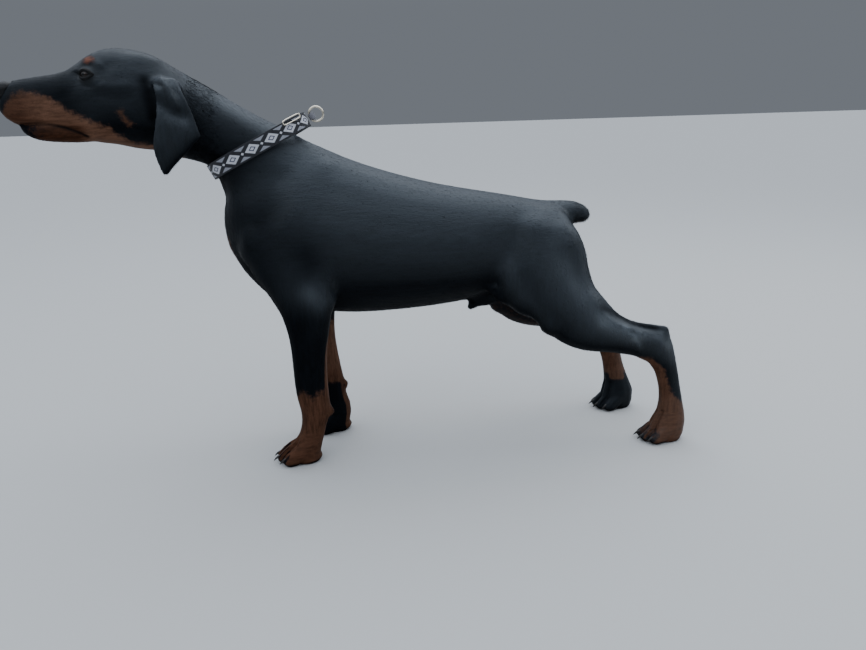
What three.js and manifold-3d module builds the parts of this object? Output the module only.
// A young male Doberman Pinscher, standing stretched out with its head held forward.
// Millimetres. The nose points to -x, the left side faces -y, and z rises from the floor.
// The body is modelled whole, from lofts and muscle forms, and is then parted with thin cuts.
import * as THREE from 'three';
import { mergeVertices } from 'three/addons/utils/BufferGeometryUtils.js';
import Module from 'manifold-3d';

const wasm = await Module();
wasm.setup();

// Driving sizes
const GAP = 0.3;
const RIGHT = 1;
const LEFT = -1;
const FAR = 3000;
const DEGREE = Math.PI / 180;
const HEAD_TURN = 16 * DEGREE;
const HEAD_AT = new THREE.Vector3(-300, -18, 0);
const EYE = { s: 121, t: 30, z: 666, radius: 11, lid: 2.2, aside: 56 * DEGREE, lift: 6 * DEGREE };
const LID_SLIT = { wide: 17, high: 11 };
const EAR = { thick: 4.6, hang: 62 };
// A toe's arch, from its knuckle to its tip: place behind the tip's middle, top, low, part width
const ARCH = [[36, 42, 12, 0.7], [22, 43, 6, 0.95], [9, 35, -2, 1], [-3, 25, -3, 1],
  [-11, 16, 2, 0.72], [-14, 11, 6, 0.3]];
const PAW = { toe: 10.8, claw: 13, arch: ARCH };
const COLLAR = { width: 25, thick: 2.6, tilt: 26.5 * DEGREE };
const COLLAR_AT = new THREE.Vector3(-179, -4, 558);
const KEEPER = { along: 4.6, across: 6.5, width: 10, thick: 1.6 };
// The collar's line in its own plane, from the crest round the right side to the throat and back
const COLLAR_LINE = [[86, 0], [74, 24], [40, 46], [-8, 60], [-55, 63], [-83, 43], [-95, 0],
  [-88, -43], [-56, -62], [-8, -59], [40, -46], [74, -24]];
const RING = { radius: 11.5, wire: 1.9 };

// Materials
const finish = (color, roughness, metalness = 0) => (
  new THREE.MeshStandardMaterial({ color, roughness, metalness })
);
const BLACK_COAT = finish(0x14161a, 0.55);
const RUST_COAT = finish(0x6b3318, 0.65);
const NOSE_LEATHER = finish(0x0e0e10, 0.35);
const EYE_GLOSS = finish(0x2a1608, 0.08);
const WEBBING = finish(0xb9bcc6, 0.85);
const STEEL = finish(0xc9c2ae, 0.3, 1);

// One section of a loft: its top and low points in the side view, its y, and its half width.
// mid is how high up the widest line lies, up and down are how square the halves are,
// and bow bends the section sideways.
function row(top, low, y, wide, { mid = 0.5, up = 2, down = 2, bow = 0 } = {}) {
  return [...top, ...low, y, wide, mid, up, down, bow];
}

// A smooth value between the rows i and i + 1, with slopes taken from the rows on both sides.
function between(rows, place, i, f) {
  const span = place[i + 1] - place[i];
  const slope = (j, k) => {
    const a = Math.max(j - 1, 0);
    const b = Math.min(j + 1, rows.length - 1);
    return (rows[b][k] - rows[a][k]) / (place[b] - place[a]);
  };
  const f2 = f * f;
  const f3 = f2 * f;
  return rows[i].map((value, k) => (
    (2 * f3 - 3 * f2 + 1) * value
    + (f3 - 2 * f2 + f) * span * slope(i, k)
    + (3 * f2 - 2 * f3) * rows[i + 1][k]
    + (f3 - f2) * span * slope(i + 1, k)
  ));
}

// The points of one ring of a loft.
function ring(values, sides, grow) {
  const [topX, topZ, lowX, lowZ, y, wide, mid, up, down, bow] = values;
  const long = Math.hypot(topX - lowX, topZ - lowZ) || 1;
  const dirX = (topX - lowX) / long;
  const dirZ = (topZ - lowZ) / long;
  const points = [];
  for (let k = 0; k < sides; k += 1) {
    const angle = (2 * Math.PI * (k + 0.5)) / sides;
    const sin = Math.sin(angle);
    const cos = Math.cos(angle);
    const square = 2 / (sin > 0 ? up : down);
    const reach = (sin > 0 ? (1 - mid) : mid) * long + grow;
    const rise = Math.sign(sin) * Math.abs(sin) ** square * reach + (mid - 0.5) * long;
    const side = Math.sign(cos) * Math.abs(cos) ** square * (wide + grow);
    const bend = bow * (1 - sin * sin);
    const midX = (topX + lowX) / 2;
    const midZ = (topZ + lowZ) / 2;
    points.push([midX + dirX * rise, y + side + bend, midZ + dirZ * rise]);
  }
  return points;
}

// A closed skin over rings of points, each ring with the same number of them.
function skinned(rings) {
  const sides = rings[0].length;
  const middle = (points) => [0, 1, 2].map((k) => (
    points.reduce((sum, p) => sum + p[k], 0) / points.length
  ));
  const vertices = [...rings.flat(), middle(rings[0]), middle(rings.at(-1))];
  const first = rings.length * sides;
  const faces = [];
  for (let r = 0; r < rings.length - 1; r += 1) {
    for (let k = 0; k < sides; k += 1) {
      const a = r * sides + k;
      const b = r * sides + ((k + 1) % sides);
      faces.push(a, b, b + sides, a, b + sides, a + sides);
    }
  }
  const last = (rings.length - 1) * sides;
  for (let k = 0; k < sides; k += 1) {
    const next = (k + 1) % sides;
    faces.push(first, next, k);
    faces.push(first + 1, last + k, last + next);
  }
  const geometry = new THREE.BufferGeometry();
  geometry.setAttribute('position', new THREE.Float32BufferAttribute(vertices.flat(), 3));
  geometry.setIndex(faces);
  return geometry;
}

// A geometry as a solid, turned right side out if its faces point inwards.
function solid(geometry) {
  const bare = geometry.clone();
  bare.deleteAttribute('normal');
  bare.deleteAttribute('uv');
  const merged = mergeVertices(bare, 1e-4);
  const position = merged.getAttribute('position');
  const faces = Uint32Array.from(merged.getIndex().array);
  let volume = 0;
  const [a, b, c] = [new THREE.Vector3(), new THREE.Vector3(), new THREE.Vector3()];
  for (let k = 0; k < faces.length; k += 3) {
    a.fromBufferAttribute(position, faces[k]);
    b.fromBufferAttribute(position, faces[k + 1]);
    c.fromBufferAttribute(position, faces[k + 2]);
    volume += a.dot(b.cross(c));
  }
  if (volume < 0) {
    for (let k = 0; k < faces.length; k += 3) {
      [faces[k + 1], faces[k + 2]] = [faces[k + 2], faces[k + 1]];
    }
  }
  const vertProperties = Float32Array.from(position.array);
  return new wasm.Manifold(new wasm.Mesh({ numProp: 3, vertProperties, triVerts: faces }));
}

// A loft through its rows, with a ring about every pitch millimetres.
function loft(rows, { sides = 24, pitch = 18, grow = 0 } = {}) {
  const centre = (r) => [(r[0] + r[2]) / 2, (r[1] + r[3]) / 2, r[4]];
  const place = [0];
  for (let i = 1; i < rows.length; i += 1) {
    const [a, b] = [centre(rows[i - 1]), centre(rows[i])];
    place.push(place[i - 1] + Math.hypot(b[0] - a[0], b[1] - a[1], b[2] - a[2]));
  }
  const rings = [];
  for (let i = 0; i < rows.length - 1; i += 1) {
    const steps = Math.max(1, Math.round((place[i + 1] - place[i]) / pitch));
    for (let k = 0; k < steps; k += 1) {
      rings.push(ring(between(rows, place, i, k / steps), sides, grow));
    }
  }
  rings.push(ring(rows.at(-1), sides, grow));
  return solid(skinned(rings));
}

// An ellipsoid: a muscle, a pad or a socket. lean tips it in the side view.
function ball([x, y, z], [rx, ry, rz], { lean = 0, yaw = 0, sides = 10, grow = 0 } = {}) {
  const geometry = new THREE.SphereGeometry(1, sides, Math.round(sides * 0.6));
  geometry.scale(rx + grow, ry + grow, rz + grow);
  geometry.rotateY(lean * DEGREE);
  geometry.rotateZ(yaw * DEGREE);
  geometry.translate(x, y, z);
  return solid(geometry);
}

const fuse = (...parts) => parts.flat().reduce((all, part) => all.add(part));
const cut = (from, ...tools) => tools.flat().reduce((left, tool) => left.subtract(tool), from);

// Only the largest closed body, so that a cut leaves no loose scrap.
function largest(body) {
  return body.decompose().reduce((a, b) => (a.volume() > b.volume() ? a : b));
}

// Everything on the side of a plane that its normal points to, from GAP / 2 off the plane.
function beyond(point, normal) {
  const box = new THREE.BoxGeometry(FAR, FAR, FAR);
  box.translate(0, 0, FAR / 2 + GAP / 2);
  const turn = new THREE.Quaternion().setFromUnitVectors(
    new THREE.Vector3(0, 0, 1),
    new THREE.Vector3(...normal).normalize(),
  );
  box.applyQuaternion(turn);
  box.translate(...point);
  return solid(box);
}

// Both sides of a cut through a body: first the side of the normal, then the rest.
function parted(body, point, normal) {
  const other = normal.map((n) => -n);
  return [body.intersect(beyond(point, normal)), body.intersect(beyond(point, other))];
}

// A plate through the body with a smooth outline in the side view, from y0 to y1.
function region(outline, y0, y1, grow = 0) {
  const curve = new THREE.CatmullRomCurve3(
    outline.map(([x, z]) => new THREE.Vector3(x, z, 0)),
    true,
    'centripetal',
  );
  const points = curve.getPoints(outline.length * 3).slice(0, -1);
  const clockwise = THREE.ShapeUtils.area(points) < 0;
  const flat = points.map((p, k) => {
    const before = points[(k + points.length - 1) % points.length];
    const after = points[(k + 1) % points.length];
    const out = new THREE.Vector2(after.y - before.y, before.x - after.x).normalize();
    const push = clockwise ? -grow : grow;
    return new THREE.Vector2(p.x + out.x * push, p.y + out.y * push);
  });
  const plate = new THREE.ExtrudeGeometry(new THREE.Shape(flat), {
    depth: y1 - y0 + 2 * grow,
    bevelEnabled: false,
  });
  plate.rotateX(90 * DEGREE);
  plate.translate(0, y1 + grow, 0);
  return solid(plate);
}

// Head-frame points: s forward from the nape, t out to the named side, z up.
const onHead = (s, t, z, side) => [-s, side * t, z];
const headPlace = new THREE.Matrix4()
  .makeTranslation(HEAD_AT)
  .multiply(new THREE.Matrix4().makeRotationZ(HEAD_TURN));
const turned = (body) => body.transform(headPlace.toArray());

// The trunk, from the breast to the rump
function trunk(grow = 0) {
  const rows = [
    row([-255, 450], [-255, 413], 0, 16),
    row([-245, 480], [-249, 384], 0, 36),
    row([-228, 535], [-232, 345], 0, 56),
    row([-192, 566], [-201, 306], 0, 67, { up: 1.9 }),
    row([-150, 574], [-160, 282], 0, 74, { up: 1.8 }),
    row([-105, 563], [-110, 268], 0, 79, { up: 1.7, down: 1.9 }),
    row([-55, 538], [-55, 262], 0, 84, { up: 1.9, down: 1.9 }),
    row([0, 516], [0, 262], 0, 88, { up: 2.1, down: 1.9 }),
    row([60, 497], [60, 265], 0, 88, { up: 2.2, down: 1.9 }),
    row([115, 483], [115, 270], 0, 83, { up: 2.2, down: 1.9 }),
    row([165, 473], [165, 278], 0, 75, { up: 2.2 }),
    row([210, 465], [210, 292], 0, 67, { up: 2.2 }),
    row([255, 456], [255, 308], 0, 62, { up: 2.1 }),
    row([295, 447], [298, 326], 0, 55),
    row([322, 438], [325, 350], 0, 42),
    row([340, 420], [341, 376], 0, 22),
  ];
  return loft(rows, { sides: 20, pitch: 28, grow });
}

// The neck, from deep in the chest to inside the head
function neck(grow = 0) {
  const rows = [
    row([-78, 530], [-205, 400], 0, 60),
    row([-118, 570], [-236, 436], 0, 62, { up: 1.9 }),
    row([-158, 591], [-251, 488], -3, 57, { up: 1.9 }),
    row([-203, 616], [-260, 519], -8, 54),
    row([-250, 647], [-278, 532], -13, 52),
    row([-294, 674], [-306, 540], -18, 50),
    row([-335, 686], [-340, 556], -27, 44),
  ];
  return loft(rows, { sides: 20, pitch: 24, grow });
}

// The docked tail
function tail() {
  const rows = [
    row([235, 455], [240, 400], 0, 20),
    row([278, 451], [282, 402], 0, 22),
    row([312, 449], [315, 403], 0, 21),
    row([342, 449], [342, 405], 0, 19.5),
    row([362, 442], [361, 403], 0, 17),
    row([375, 433], [374, 406], 0, 12.5),
    row([381, 424], [380, 413], 0, 6),
  ];
  return loft(rows, { sides: 12, pitch: 16 });
}

// Skull, muzzle and upper lips, in the head frame
function skull(grow = 0) {
  const rows = [
    row([35, 652], [35, 556], 0, 44),
    row([2, 676], [2, 551], 0, 49, { up: 2.1 }),
    row([-32, 697], [-32, 553], 0, 51, { up: 2.2 }),
    row([-70, 706], [-70, 558], 0, 51, { up: 2.3 }),
    row([-100, 705], [-100, 566], 0, 47, { up: 2.4 }),
    row([-120, 697], [-120, 569], 0, 42.5, { up: 2.4, down: 2.2 }),
    row([-137, 685], [-137, 574], 0, 37, { up: 2.4, down: 2.6 }),
    row([-152, 675], [-152, 587], 0, 32.5, { up: 2.5, down: 3.2 }),
    row([-170, 670], [-170, 595], 0, 30, { up: 2.5, down: 3.8 }),
    row([-192, 667], [-192, 600], 0, 28, { up: 2.5, down: 4 }),
    row([-214, 664], [-214, 600], 0, 26.5, { up: 2.4, down: 4 }),
    row([-231, 660], [-231, 601], 0, 24, { up: 2.3, down: 3.2 }),
    row([-243, 652], [-242, 609], 0, 19, { up: 2.1, down: 2.4 }),
    row([-250, 640], [-249, 620], 0, 11),
  ];
  const forms = [loft(rows, { sides: 20, pitch: 16, grow })];
  for (const side of [LEFT, RIGHT]) {
    const brow = onHead(113, 22, 680, side);
    const temple = onHead(58, 20, 675, side);
    const rim = onHead(EYE.s, EYE.t, EYE.z, side);
    const lid = EYE.radius + EYE.lid;
    forms.push(ball(brow, [18, 13, 8.5], { lean: 24, grow }));
    forms.push(ball(temple, [48, 20, 24], { grow }));
    forms.push(ball(rim, [lid, lid, lid], { sides: 12, grow }));
  }
  return fuse(forms);
}

// The lower jaw, nested between the upper lips
function jaw(grow = 0) {
  const rows = [
    row([-108, 598], [-108, 580], 0, 18),
    row([-124, 603], [-124, 573], 0, 24, { down: 2.3 }),
    row([-146, 607], [-146, 571], 0, 24, { down: 2.5 }),
    row([-170, 609], [-170, 572], 0, 23, { up: 2.6, down: 2.6 }),
    row([-192, 609], [-192, 574], 0, 21.5, { up: 2.6, down: 2.6 }),
    row([-208, 608], [-208, 577], 0, 18.5, { up: 2.6, down: 2.4 }),
    row([-219, 606], [-219, 583], 0, 14.5),
    row([-226, 603], [-226, 592], 0, 7),
  ];
  return loft(rows, { sides: 14, pitch: 14, grow });
}

// The nose leather, before its nostrils are cut
function noseForm(grow = 0) {
  const rows = [
    row([-224, 658], [-228, 640], 0, 10),
    row([-232, 662], [-235, 632], 0, 16.5, { up: 2.5 }),
    row([-243, 661], [-243, 628], 0, 18, { up: 2.6, down: 2.2 }),
    row([-251, 656], [-250, 629], 0, 16, { up: 2.4, down: 2.2 }),
    row([-256, 648], [-255, 634], 0, 9.5),
  ];
  return loft(rows, { sides: 14, pitch: 8, grow });
}

// Nostrils with their side slits, and the groove between them
function nose() {
  const tools = [];
  for (const side of [LEFT, RIGHT]) {
    tools.push(ball(onHead(255, 7.4, 645, side), [9, 3.4, 4.2], { yaw: side * -14 }));
    tools.push(ball(onHead(250, 12.6, 640, side), [7, 5.5, 1.5], { yaw: side * -38, lean: -12 }));
  }
  const groove = new THREE.CylinderGeometry(0.9, 0.9, 16, 8);
  groove.rotateX(90 * DEGREE);
  groove.translate(-256.5, 0, 634);
  return cut(noseForm(), tools, solid(groove));
}

// The almond slit between the lids, as a tool that runs out along the line of sight
function lidSlit(side) {
  const half = LID_SLIT.wide / 2;
  const rise = LID_SLIT.high;
  const almond = new THREE.Shape();
  almond.moveTo(-half, 0);
  almond.quadraticCurveTo(-1, rise, half, 0.5);
  almond.quadraticCurveTo(0, -rise * 0.8, -half, 0);
  const tool = new THREE.ExtrudeGeometry(almond, {
    depth: 3 * EYE.radius,
    bevelEnabled: false,
    curveSegments: 8,
  });
  tool.rotateX(90 * DEGREE);
  tool.rotateX(-EYE.lift);
  tool.rotateZ(EYE.aside - 90 * DEGREE);
  if (side === RIGHT) {
    tool.scale(1, -1, 1);
  }
  tool.translate(...onHead(EYE.s, EYE.t, EYE.z, side));
  return solid(tool);
}

// An eyeball
function eye(side, grow = 0) {
  const radius = EYE.radius + grow;
  return ball(onHead(EYE.s, EYE.t, EYE.z, side), [radius, radius, radius], { sides: 14 });
}

// A hanging ear: a thick base on the skull, a thin flap, and the cup behind its front edge
function ear(side) {
  const y = side * EAR.hang;
  const half = EAR.thick / 2;
  const bow = side * 5;
  const rows = [
    row([-34, 657], [-2, 660], y - side * 10, 5, { bow: side * 2 }),
    row([-37, 649], [2, 650], y - side * 4, 4, { bow: side * 3 }),
    row([-35, 632], [9, 630], y, half, { bow }),
    row([-38, 610], [16, 608], y + side, half, { bow }),
    row([-43, 592], [21, 588], y + side * 2, half, { bow }),
    row([-48, 572], [25, 575], y + side * 2, half, { bow }),
    row([-49, 557], [12, 563], y + side, half, { bow }),
    row([-47, 543], [-2, 549], y, half, { bow: side * 4 }),
    row([-43, 530], [-20, 533], y - side * 2, half, { bow: side * 2 }),
    row([-39, 520], [-31, 521], y - side * 3, half * 0.8),
  ];
  const flap = loft(rows, { sides: 12, pitch: 16 });
  const base = ball(onHead(17, 49, 649, side), [24, 12, 14], { lean: 8 });
  const cup = ball(onHead(35, 54, 638, side), [12, 5.5, 16], { lean: 14 });
  const canal = ball(onHead(31, 50, 645, side), [7, 6, 7]);
  return cut(fuse(flap, base), cup, canal);
}

// How the right legs stand against the left ones: [height, step in x, step out in y]
const FORE_STEP = [[330, 0, 0], [240, 3, 2], [190, 9, 5], [130, 17, 10], [100, 20, 13],
  [80, 28, 16], [60, 40, 20], [38, 48, 22], [0, 50, 24]];
const HIND_STEP = [[430, 0, 0], [345, -22, 3], [300, -45, 6], [262, -61, 9], [228, -67, 16],
  [200, -61, 22], [150, -56, 28], [95, -54, 33], [60, -48, 35], [38, -42, 36], [0, -39, 37]];

function stepAt(table, z) {
  const level = THREE.MathUtils.clamp(z, table.at(-1)[0], table[0][0]);
  const i = Math.max(1, table.findIndex(([height]) => height <= level));
  const [high, low] = [table[i - 1], table[i]];
  const f = (high[0] - level) / (high[0] - low[0]);
  return [1, 2].map((k) => high[k] + (low[k] - high[k]) * f);
}

// A point of a left leg carried over to its own side
function placed(table, side, [x, y, z]) {
  if (side === LEFT) {
    return [x, y, z];
  }
  const [dx, dy] = stepAt(table, z);
  return [x + dx, -y + dy, z];
}

// A whole row of a left leg carried over to its own side
function placedRow(table, side, values) {
  if (side === LEFT) {
    return values;
  }
  const [topX, topZ, lowX, lowZ, y, ...rest] = values;
  const [dx, dy] = stepAt(table, (topZ + lowZ) / 2);
  return [topX + dx, topZ, lowX + dx, lowZ, -y + dy, ...rest];
}

// Shoulder blade, upper arm, forearm, wrist and pastern
function foreleg(side) {
  const at = (x, y, z) => placed(FORE_STEP, side, [x, y, z]);
  const rows = [
    row([-112, 528], [-66, 530], -34, 12),
    row([-158, 480], [-58, 486], -48, 20),
    row([-206, 428], [-56, 438], -56, 25),
    row([-221, 385], [-60, 395], -58, 27),
    row([-212, 350], [-64, 358], -62, 28),
    row([-190, 320], [-72, 325], -64, 29),
    row([-170, 285], [-80, 288], -66, 27),
    row([-161, 250], [-88, 252], -66, 24),
    row([-158, 205], [-96, 207], -64, 20.5),
    row([-159, 160], [-98, 160], -61, 18),
    row([-157, 125], [-98, 125], -58, 18.5),
    row([-152, 102], [-97, 102], -56, 20),
    row([-152, 80], [-104, 80], -54, 18.5),
    row([-158, 58], [-111, 58], -52, 19.5),
    row([-170, 38], [-117, 38], -51, 23),
    row([-176, 16], [-123, 14], -50, 24),
    row([-172, -8], [-127, -8], -50, 20),
  ];
  const muscles = [
    ball(at(-202, -56, 402), [27, 21, 42], { lean: 12 }),
    ball(at(-108, -64, 366), [44, 25, 62], { lean: 10 }),
    ball(at(-86, -68, 306), [14, 14, 20], { lean: -10 }),
    ball(at(-99, -55, 97), [8, 8, 10]),
  ];
  const legRows = rows.map((r) => placedRow(FORE_STEP, side, r));
  return fuse(loft(legRows, { sides: 12, pitch: 26 }), muscles);
}

// Thigh, stifle, second thigh, hock and metatarsus
function hindleg(side) {
  const at = (x, y, z) => placed(HIND_STEP, side, [x, y, z]);
  const rows = [
    row([228, 440], [316, 441], -26, 12),
    row([208, 410], [334, 420], -36, 27),
    row([206, 345], [361, 352], -48, 35),
    row([228, 288], [372, 308], -58, 35),
    row([266, 246], [388, 287], -66, 31),
    row([308, 208], [411, 259], -70, 27),
    row([352, 189], [438, 242], -71, 22.5),
    row([403, 182], [466, 234], -70, 19),
    row([446, 172], [491, 230], -68, 16.5),
    row([476, 156], [509, 218], -66, 17.5),
    row([490, 136], [522, 186], -64, 17),
    row([498, 112], [533, 142], -63, 15.5),
    row([502, 82], [544, 95], -62, 15.5),
    row([500, 58], [552, 62], -61, 19),
    row([490, 38], [556, 38], -60, 23),
    row([484, 16], [554, 14], -60, 24),
    row([488, -8], [546, -8], -60, 20),
  ];
  const muscles = [
    ball(at(274, -40, 396), [58, 31, 38], { lean: 14 }),
    ball(at(320, -52, 354), [40, 33, 72], { lean: -12 }),
    ball(at(252, -56, 314), [48, 29, 70], { lean: -24 }),
    ball(at(224, -50, 289), [48, 12, 17], { lean: 25 }),
    ball(at(300, -70, 250), [31, 24, 32], { lean: 30 }),
    ball(at(382, -70, 244), [58, 21, 24], { lean: 20 }),
    ball(at(500, -66, 214), [12, 11, 14], { lean: 10 }),
  ];
  const legRows = rows.map((r) => placedRow(HIND_STEP, side, r));
  return fuse(loft(legRows, { sides: 12, pitch: 26 }), muscles);
}

// Four toes with claws and pads, in front of the pastern. x and y are the heel's middle.
function toes([x, y], side, size, heading) {
  const forms = [];
  const spread = [-22, -8, 8, 22];
  const reach = [24, 37, 39, 27];
  for (let k = 0; k < spread.length; k += 1) {
    const out = spread[k] * size;
    const ahead = reach[k] * size;
    const splay = spread[k] * -0.55;
    const toe = PAW.toe * size;
    const rows = PAW.arch.map(([back, top, low, part]) => (
      row([back * size, top * size], [back * size, low * size], 0, toe * part)
    ));
    const place = new THREE.Matrix4()
      .makeTranslation(-ahead, out, 0)
      .multiply(new THREE.Matrix4().makeRotationZ(splay * DEGREE));
    forms.push(loft(rows, { sides: 8, pitch: FAR }).transform(place.toArray()));
    const claw = new THREE.ConeGeometry(3.4 * size, PAW.claw * size, 5, 1);
    claw.rotateZ(90 * DEGREE);
    claw.rotateY(-34 * DEGREE);
    claw.rotateZ(splay * DEGREE);
    claw.translate(-ahead - 14 * size, out * 1.04, 9.5 * size);
    forms.push(solid(claw));
  }
  forms.push(ball([4, 0, 9], [26 * size, 23 * size, 11]));
  forms.push(ball([-8, 0, 24 * size], [30 * size, 24 * size, 20 * size], { lean: -14 }));
  const place = new THREE.Matrix4()
    .makeTranslation(x, y, 0)
    .multiply(new THREE.Matrix4().makeRotationZ(side * heading * DEGREE));
  return fuse(forms).transform(place.toArray());
}

// Sheath and scrotum of a young male
function groin() {
  const sheath = ball([190, 0, 276], [36, 12, 19]);
  const tip = ball([162, 0, 260], [12, 9, 11], { sides: 8 });
  const scrotum = ball([322, 4, 322], [24, 17, 22]);
  return [sheath, tip, scrotum];
}

// A closed hoop of flat band around a smooth line of [along, across] points, in a tipped plane
function hoop(centre, line, tilt, width, thick, segments = 36) {
  const curve = new THREE.CatmullRomCurve3(
    line.map(([along, across]) => new THREE.Vector3(along, across, 0)),
    true,
    'centripetal',
  );
  const points = [];
  for (let k = 0; k < segments; k += 1) {
    const at = curve.getPoint(k / segments);
    const way = curve.getTangent(k / segments);
    for (const [out, up] of [[-1, -1], [1, -1], [1, 1], [-1, 1]]) {
      const along = at.x + (way.y * out * thick) / 2;
      const across = at.y - (way.x * out * thick) / 2;
      const rise = (up * width) / 2;
      points.push(
        centre.x + along * Math.cos(tilt) - rise * Math.sin(tilt),
        centre.y + across,
        centre.z + along * Math.sin(tilt) + rise * Math.cos(tilt),
      );
    }
  }
  const faces = [];
  for (let r = 0; r < segments; r += 1) {
    for (let k = 0; k < 4; k += 1) {
      const next = (k + 1) % 4;
      const a = r * 4 + k;
      const b = r * 4 + next;
      const c = ((r + 1) % segments) * 4 + next;
      const d = ((r + 1) % segments) * 4 + k;
      faces.push(a, b, c, a, c, d);
    }
  }
  const geometry = new THREE.BufferGeometry();
  geometry.setAttribute('position', new THREE.Float32BufferAttribute(points, 3));
  geometry.setIndex(faces);
  return solid(geometry);
}

// An oval line for a hoop
function oval(along, across, count = 12) {
  return Array.from({ length: count }, (_, k) => {
    const angle = (2 * Math.PI * k) / count;
    return [along * Math.cos(angle), across * Math.sin(angle)];
  });
}

// A ring of round wire
function wireRing(centre, radius, wire, turn) {
  const geometry = new THREE.TorusGeometry(radius, wire, 6, 20);
  geometry.rotateX(90 * DEGREE);
  geometry.rotateZ(turn);
  geometry.translate(...centre);
  return solid(geometry);
}

// A point on the collar's plane, along from its middle, across, and off the plane
function inCollarPlane(along, across, rise = 0) {
  return new THREE.Vector3(
    COLLAR_AT.x + along * Math.cos(COLLAR.tilt) - rise * Math.sin(COLLAR.tilt),
    COLLAR_AT.y + across,
    COLLAR_AT.z + along * Math.sin(COLLAR.tilt) + rise * Math.cos(COLLAR.tilt),
  );
}

// A box from its two corners, grown on every side
function block([x0, y0, z0, x1, y1, z1], grow = 0) {
  const geometry = new THREE.BoxGeometry(x1 - x0 + 2 * grow, y1 - y0 + 2 * grow, z1 - z0 + 2 * grow);
  geometry.translate((x0 + x1) / 2, (y0 + y1) / 2, (z0 + z1) / 2);
  return solid(geometry);
}

// The whole body of flesh
const head = turned(skull());
const legs = {
  foreleg_left: foreleg(LEFT),
  foreleg_right: foreleg(RIGHT),
  hindleg_left: hindleg(LEFT),
  hindleg_right: hindleg(RIGHT),
};
const paws = [
  toes([-149, -50], LEFT, 1, 4),
  toes([-99, 74], RIGHT, 1, 6),
  toes([521, -60], LEFT, 0.95, 3),
  toes([482, 97], RIGHT, 0.95, 5),
];
const breast = [LEFT, RIGHT].map((side) => (
  ball([-218, side * 25, 416], [33, 27, 50], { lean: 12 })
));
const whole = fuse(
  trunk(), neck(), head, tail(), Object.values(legs), paws, breast, groin(),
).intersect(beyond([0, 0, -GAP / 2], [0, 0, 1]));

// Cuts that part the body: the head behind the jaw, the neck at its root, the tail at its own
const TAIL_BOX = [335, -26, 400, 430, 26, 500];
const nodes = {};
const napeCut = parted(whole, [-292, -18, 610], [-1, -0.14, 0.1]);
const neckCut = parted(napeCut[1], [-180, 0, 520], [-0.58, 0, 0.81]);
nodes.neck = neckCut[0];
nodes.tail = neckCut[1].intersect(block(TAIL_BOX));
let rest = neckCut[1].subtract(block(TAIL_BOX, GAP));

// Outlines of the legs in the side view, down to below the floor
const FORE_OUTLINE = [[-60, -40], [-300, -40], [-215, 120], [-200, 270], [-262, 372],
  [-250, 440], [-180, 500], [-105, 520], [-62, 470], [-48, 380], [-60, 300], [-70, 220],
  [-40, 100]];
const HIND_OUTLINE = [[600, -40], [400, -40], [410, 140], [300, 170], [222, 235], [190, 300],
  [205, 400], [262, 452], [330, 442], [380, 360], [420, 300], [560, 260], [600, 120]];

const legCuts = [
  ['foreleg_left', FORE_OUTLINE, LEFT, [0, -30, 262], 0],
  ['foreleg_right', FORE_OUTLINE, RIGHT, [0, 34, 262], 30],
  ['hindleg_left', HIND_OUTLINE, LEFT, [0, -16, 290], 0],
  ['hindleg_right', HIND_OUTLINE, RIGHT, [0, 20, 290], -62],
];
for (const [name, outline, side, inner, step] of legCuts) {
  const moved = outline.map(([x, z]) => [x + step * (z < 330 ? 1 : 0.2), z]);
  const tilted = beyond(inner, [0, side, -0.17]);
  const plate = region(moved, -FAR / 10, FAR / 10).intersect(tilted);
  const wall = region(moved, -FAR / 10, FAR / 10, GAP).intersect(
    beyond([0, inner[1] - side * GAP, inner[2]], [0, side, -0.17]),
  );
  nodes[name] = rest.intersect(plate);
  rest = rest.subtract(wall);
}
nodes.torso = rest;

// Each paw is parted from its leg at the pastern
for (const [leg, paw, height] of [
  ['foreleg_left', 'forepaw_left', 60],
  ['foreleg_right', 'forepaw_right', 60],
  ['hindleg_left', 'hindpaw_left', 62],
  ['hindleg_right', 'hindpaw_right', 62],
]) {
  [nodes[leg], nodes[paw]] = parted(largest(nodes[leg]), [0, 0, height], [0, 0, 1]);
}

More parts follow.
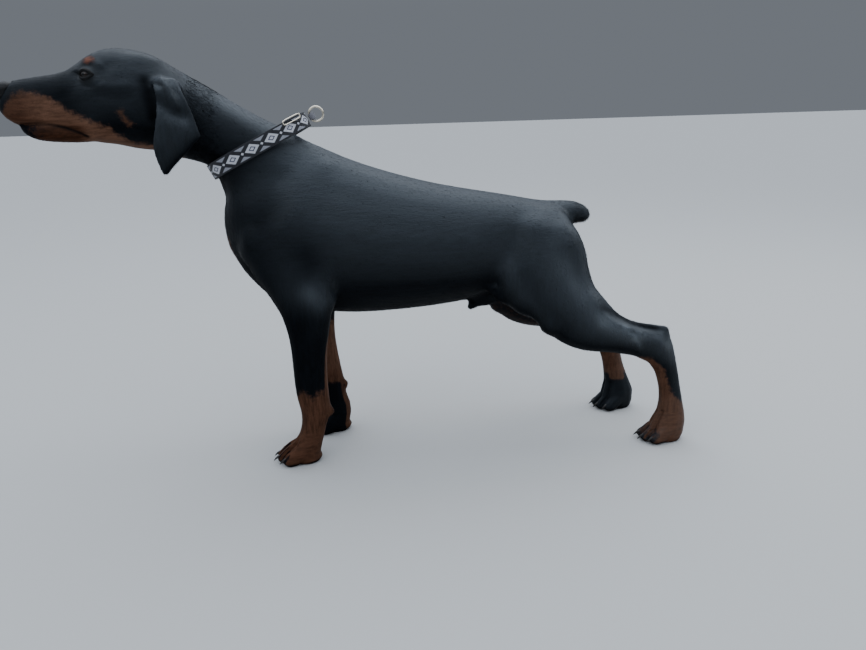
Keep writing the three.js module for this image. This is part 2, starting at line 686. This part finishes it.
// The head with its sockets, lid slits, and the beds of jaw, nose and ears
const beds = [jaw(GAP), noseForm(GAP)];
for (const side of [LEFT, RIGHT]) {
  beds.push(eye(side, GAP), lidSlit(side));
}
nodes.head = cut(napeCut[0], beds.map(turned));
nodes.lower_jaw = turned(jaw());
nodes.nose = turned(nose());
const keepClear = [turned(skull(GAP)), neck(GAP)];
for (const [word, side] of [['left', LEFT], ['right', RIGHT]]) {
  nodes[`eye_${word}`] = turned(eye(side));
  nodes[`ear_${word}`] = cut(turned(ear(side)), keepClear);
}

// The collar, standing off the crest of the neck, with its ring, keeper and slide
nodes.collar = hoop(COLLAR_AT, COLLAR_LINE, COLLAR.tilt, COLLAR.width, COLLAR.thick);
const keeperAt = inCollarPlane(COLLAR_LINE[0][0] + COLLAR.thick / 2 + KEEPER.along + 1.2, 0);
nodes.collar_keeper = hoop(
  keeperAt, oval(KEEPER.along, KEEPER.across), COLLAR.tilt, KEEPER.width, KEEPER.thick, 16,
);
const ringAt = keeperAt.clone().add(inCollarPlane(RING.radius - 0.6, 0)).sub(COLLAR_AT);
nodes.collar_ring = wireRing(ringAt.toArray(), RING.radius, RING.wire, 0);

const skins = {
  nose: NOSE_LEATHER,
  eye_left: EYE_GLOSS,
  eye_right: EYE_GLOSS,
  lower_jaw: RUST_COAT,
  collar: WEBBING,
  collar_keeper: WEBBING,
  collar_ring: STEEL,
};
for (const paw of ['forepaw_left', 'forepaw_right', 'hindpaw_left', 'hindpaw_right']) {
  skins[paw] = RUST_COAT;
}

// The finished part, moved so that its box stands on the floor around the origin
const dog = new THREE.Group();
for (const [name, body] of Object.entries(nodes)) {
  const { vertProperties, triVerts } = largest(body).getMesh();
  const geometry = new THREE.BufferGeometry();
  geometry.setAttribute('position', new THREE.Float32BufferAttribute(vertProperties, 3));
  geometry.setIndex(Array.from(triVerts));
  geometry.computeVertexNormals();
  const mesh = new THREE.Mesh(geometry, skins[name] ?? BLACK_COAT);
  mesh.name = name;
  dog.add(mesh);
}
const box = new THREE.Box3().setFromObject(dog);
const middle = box.getCenter(new THREE.Vector3());
dog.position.set(-middle.x, -middle.y, -box.min.z);

export default dog;
